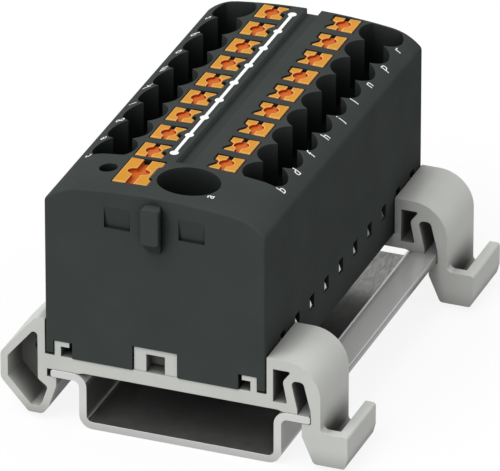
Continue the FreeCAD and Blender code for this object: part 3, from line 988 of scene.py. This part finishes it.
@dataclass
class DeckPrint:
    """The white print on the deck: a dotted line along the left row, and position letters."""

    deck: Deck
    way_ys: list[float]
    middle_x: float
    front_y: float
    ink: bpy.types.Material = field(default_factory=lambda: PrintInk().material())
    line_x: float = -2.12 * MM
    line_width: float = 0.46 * MM
    dot_radius: float = 0.57 * MM
    dot_corners: int = 28
    letter_height: float = 1.34 * MM
    letter_scale: float = 1.42
    letter_drop: float = 0.35
    letter_steps: int = 4
    right_letter_x: float = 13.15 * MM
    right_letter_lead: float = 1.9 * MM
    left_letter_x: float = -13.0 * MM
    left_letter_lead: float = 2.1 * MM
    feed_letter_x: float = 6.3 * MM
    feed_letter_y: float = 3.2 * MM
    lift: float = 0.012 * MM
    dot_lift: float = 0.018 * MM
    sink: float = 0.03 * MM
    weld: float = 1e-7
    flat_turn: float = 0.01
    longest_edge: float = 0.5 * MM
    halvings: int = 4

    def refine(self, skin: bmesh.types.BMesh) -> None:
        """Clean flat outlines and cut them finely enough to follow the deck's arch.

        Args:
            skin: The flat outlines, which end up facing up.
        """
        bmesh.ops.remove_doubles(skin, verts=skin.verts, dist=self.weld)
        bmesh.ops.dissolve_limit(skin, angle_limit=self.flat_turn, verts=skin.verts, edges=skin.edges)
        bmesh.ops.triangulate(skin, faces=skin.faces)
        for _ in range(self.halvings):
            long_edges = [edge for edge in skin.edges if edge.calc_length() > self.longest_edge]
            if not long_edges:
                break
            bmesh.ops.subdivide_edges(skin, edges=long_edges, cuts=1)
            bmesh.ops.triangulate(skin, faces=skin.faces)
        for face in skin.faces:
            if face.normal.z < 0:
                face.normal_flip()

    def laid(self, name: str, flat: bpy.types.Mesh, x: float, lift: float) -> bpy.types.Object:
        """Lay flat outlines on the deck as one thin closed skin.

        Args:
            name: The piece's name.
            flat: A flat mesh, its X across the deck from x and its Y along the rail.
            x: Where its X = 0 lies.
            lift: The height of the skin's face over the deck.

        Returns:
            The finished piece.
        """
        start = self.deck.run_at(x)
        skin = bmesh.new()
        skin.from_mesh(flat)
        self.refine(skin)
        raised = bmesh.ops.extrude_face_region(skin, geom=list(skin.faces))
        lifted = {part for part in raised["geom"] if isinstance(part, bmesh.types.BMVert)}
        for vert in skin.verts:
            height = lift if vert in lifted else -self.sink
            vert.co = self.deck.wrap(start + vert.co.x, vert.co.y, height)
        bmesh.ops.recalc_face_normals(skin, faces=skin.faces)
        mesh = bpy.data.meshes.new(name)
        skin.to_mesh(mesh)
        skin.free()
        piece = placed(name, mesh)
        dress(piece, self.ink)
        return piece

    def dots(self) -> bpy.types.Object:
        """The dots beside the buttons of the left row.

        Returns:
            The finished piece.
        """
        tree = GeometryTree("dots", {
            "Count": ("NodeSocketInt", len(self.way_ys)),
            "Pitch": ("NodeSocketFloat", self.way_ys[1] - self.way_ys[0]),
            "Radius": ("NodeSocketFloat", self.dot_radius),
            "Corners": ("NodeSocketInt", self.dot_corners),
        })
        step = tree.node("ShaderNodeCombineXYZ", {}, {"Y": "Pitch"})
        spots = tree.node("GeometryNodeMeshLine", {}, {"Count": "Count", "Offset": step.outputs[0]})
        dot = tree.node("GeometryNodeMeshCircle", {"fill_type": "NGON"},
                        {"Vertices": "Corners", "Radius": "Radius"})
        dots = tree.node("GeometryNodeInstanceOnPoints", {},
                         {"Points": spots.outputs[0], "Instance": dot.outputs[0]})
        flat = tree.mesh("dots", dots.outputs[0], self.ink)
        flat.transform(Matrix.Translation((0, self.way_ys[0], 0)))
        return self.laid("print_dots", flat, self.middle_x + self.line_x, self.dot_lift)

    def line(self) -> bpy.types.Object:
        """The line that joins the dots.

        Returns:
            The finished piece.
        """
        half = self.line_width / 2
        flat = sheet("line", (-half, self.way_ys[0]), (half, self.way_ys[-1]))
        return self.laid("print_line", flat, self.middle_x + self.line_x, self.lift)

    def letter(self, sign: str, x: float, y: float) -> bpy.types.Object:
        """One letter, read from the block's right side, with its top to the left.

        Args:
            sign: The letter.
            x: Its middle across the deck, from the housing's middle plane.
            y: Its middle along the rail.

        Returns:
            The finished piece.
        """
        text = bpy.data.curves.new(f"sign_{sign}", "FONT")
        text.body = sign
        text.size = self.letter_height * self.letter_scale
        text.align_x = "CENTER"
        text.resolution_u = self.letter_steps
        flat = settled(placed(text.name, text))
        flat.transform(Matrix.Translation((0, -self.letter_drop * self.letter_height, 0)))
        flat.transform(Matrix.Translation((0, y, 0)) @ QUARTER_TURN)
        return self.laid(f"print_{sign}", flat, self.middle_x + x, self.lift)

    def letters(self) -> list[bpy.types.Object]:
        """All the position letters, in pairs from the front to the rear.

        Returns:
            The finished pieces.
        """
        pieces = [self.letter("a", self.feed_letter_x, self.front_y + self.feed_letter_y)]
        for i, y in enumerate(self.way_ys):
            left, right = chr(ord("c") + 2 * i), chr(ord("b") + 2 * i)
            pieces.append(self.letter(right, self.right_letter_x, y - self.right_letter_lead))
            pieces.append(self.letter(left, self.left_letter_x, y - self.left_letter_lead))
        return pieces

    def build(self) -> list[bpy.types.Object]:
        """Build all the print and set it on the base.

        Returns:
            The finished pieces.
        """
        pieces = [self.line(), self.dots(), *self.letters()]
        for piece in pieces:
            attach(piece, Body.BASE.value)
        return pieces


# Camera and studio
@dataclass(frozen=True)
class PhotoCamera:
    """The photograph's long lens, placed by one known point of the rail."""

    azimuth: float = math.radians(21.07)
    elevation: float = math.radians(27.82)
    image: tuple[int, int] = (500, 471)
    focal_px: float = 9953.0
    px_per_mm: float = 7.96
    anchor_px: Span = (179.65, 393.49)
    anchor_height: float = 7.5 * MM
    sensor: float = 36.0
    nearest: float = 0.05
    farthest: float = 20.0

    def build(self, front_y: float) -> bpy.types.Object:
        """Create the camera.

        Args:
            front_y: The rail's front end, where the anchor point lies.

        Returns:
            The camera object, which is also made the scene's camera.
        """
        a, e = self.azimuth, self.elevation
        right = Vector((math.cos(a), math.sin(a), 0))
        up = Vector((-math.sin(a) * math.sin(e), math.cos(a) * math.sin(e), math.cos(e)))
        back = Vector((math.sin(a) * math.cos(e), -math.cos(a) * math.cos(e), math.sin(e)))
        across = (self.anchor_px[0] - self.image[0] / 2) / self.px_per_mm * MM
        above = -(self.anchor_px[1] - self.image[1] / 2) / self.px_per_mm * MM
        distance = self.focal_px / self.px_per_mm * MM
        anchor = Vector((0, front_y, self.anchor_height))
        data = bpy.data.cameras.new("photo_camera")
        data.sensor_width = self.sensor
        data.lens = self.focal_px / self.image[0] * self.sensor
        data.clip_start = self.nearest
        data.clip_end = self.farthest
        camera = placed("photo_camera", data)
        spot = anchor - right * across - up * above + back * distance
        turn = Matrix((right, up, back)).transposed().to_4x4()
        camera.matrix_world = Matrix.Translation(spot) @ turn
        bpy.context.scene.camera = camera
        return camera


@dataclass(frozen=True)
class Studio:
    """A pale floor, a soft sky and one broad key lamp from the front left."""

    key_direction: tuple[float, float, float] = (-0.27, -0.55, 0.79)
    key_strength: float = 1.8
    key_angle: float = math.radians(45)
    sky: float = 0.62
    floor_grey: float = 0.4
    floor_white: float = 0.98
    floor_size: float = 4.0
    floor_drop: float = 0.02 * MM
    shadow_share: float = 0.12

    def floor(self) -> bpy.types.Object:
        """The floor, white to the camera and grey to the light that it throws back.

        Returns:
            The floor, which is no part of the object.
        """
        tree = ShaderTree(bpy.data.materials.new("floor_paper"))
        rays = tree.node("ShaderNodeLightPath", {}, {})
        camera, glossy, through = (Number(tree, rays.outputs[name]) for name in SEEN_RAYS)
        seen = (camera + glossy + through).clamped()
        white = (self.floor_white,) * 3 + (1.0,)
        grey = (self.floor_grey,) * 3 + (1.0,)
        lit = tree.node("ShaderNodeBsdfDiffuse", {}, {"Color": white})
        glow = tree.node("ShaderNodeEmission", {}, {"Color": WHITE})
        shown = tree.node("ShaderNodeMixShader", {},
                          {0: 1 - self.shadow_share, 1: lit.outputs[0], 2: glow.outputs[0]})
        plain = tree.node("ShaderNodeBsdfDiffuse", {}, {"Color": grey})
        both = tree.node("ShaderNodeMixShader", {}, {0: seen, 1: plain.outputs[0], 2: shown.outputs[0]})
        tree.node("ShaderNodeOutputMaterial", {}, {"Surface": both.outputs[0]})
        half = self.floor_size / 2
        floor = placed("floor", sheet("floor", (-half, -half), (half, half)))
        dress(floor, tree.owner)
        floor.location.z = -self.floor_drop
        return floor

    def key(self) -> bpy.types.Object:
        """The broad key lamp.

        Returns:
            The lamp.
        """
        data = bpy.data.lights.new("key", "SUN")
        data.energy = self.key_strength
        data.angle = self.key_angle
        lamp = placed("key", data)
        lamp.rotation_euler = Vector(self.key_direction).to_track_quat("Z", "Y").to_euler()
        return lamp

    def world(self) -> bpy.types.World:
        """A soft sky that the camera, metal and glass see as white.

        Returns:
            The scene's world.
        """
        tree = ShaderTree(bpy.data.worlds.new("studio"))
        rays = tree.node("ShaderNodeLightPath", {}, {})
        shown = tree.node("ShaderNodeBackground", {}, {"Color": WHITE, "Strength": self.sky})
        for name in SEEN_RAYS:
            white = tree.node("ShaderNodeBackground", {}, {"Color": WHITE})
            shown = tree.node("ShaderNodeMixShader", {},
                              {0: rays.outputs[name], 1: shown.outputs[0], 2: white.outputs[0]})
        tree.node("ShaderNodeOutputWorld", {}, {"Surface": shown.outputs[0]})
        bpy.context.scene.world = tree.owner
        return tree.owner

    def build(self) -> None:
        """Build the whole studio."""
        self.floor()
        self.key()
        self.world()
        bpy.context.scene.view_settings.view_transform = "Standard"


# The whole scene
def row_of(names: Callable[[int], str], count: int) -> list[float]:
    """The middles along Y of a row of buttons.

    Args:
        names: The node's name for a number from 1.
        count: How many buttons the row has.

    Returns:
        Their Y, from the front to the rear.
    """
    middles = []
    for number in range(1, count + 1):
        low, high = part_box(names(number))
        middles.append((low.y + high.y) / 2)
    return middles


def main() -> None:
    """Dress the frame, lay the print, seat the springs, and set up the studio and camera."""
    logging.basicConfig(level=logging.INFO, format="%(name)s: %(message)s")
    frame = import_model()
    nodes = frame["nodes"]
    _, button_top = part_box("button_left_1")
    _, feed_button_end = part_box("feed_button")
    rail_low, rail_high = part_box("din_rail")
    low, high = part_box("housing")
    middle_x = (low.x + high.x) / 2
    finishes = Finishes(button_top.z, rail_high.y, middle_x, feed_button_end.y)
    dressed = finishes.dress_all(nodes, frame["record"]["subparts"])
    LOG.info("dressed %d nodes", dressed)
    rows = sum(name.startswith("button_left") for name in nodes)
    print_on_deck = DeckPrint(
        deck=Deck(nodes["housing"]),
        way_ys=row_of(lambda number: f"button_left_{number}", rows),
        middle_x=middle_x,
        front_y=rail_low.y,
    )
    for piece in print_on_deck.build():
        LOG.info("laid %s", piece.name)
    for piece in ClampSprings(nodes, frame["record"]["behaviour"]["joints"]).build():
        LOG.info("seated %s", piece.name)
    Studio().build()
    PhotoCamera().build(rail_low.y)


if __name__ == "__main__":
    main()
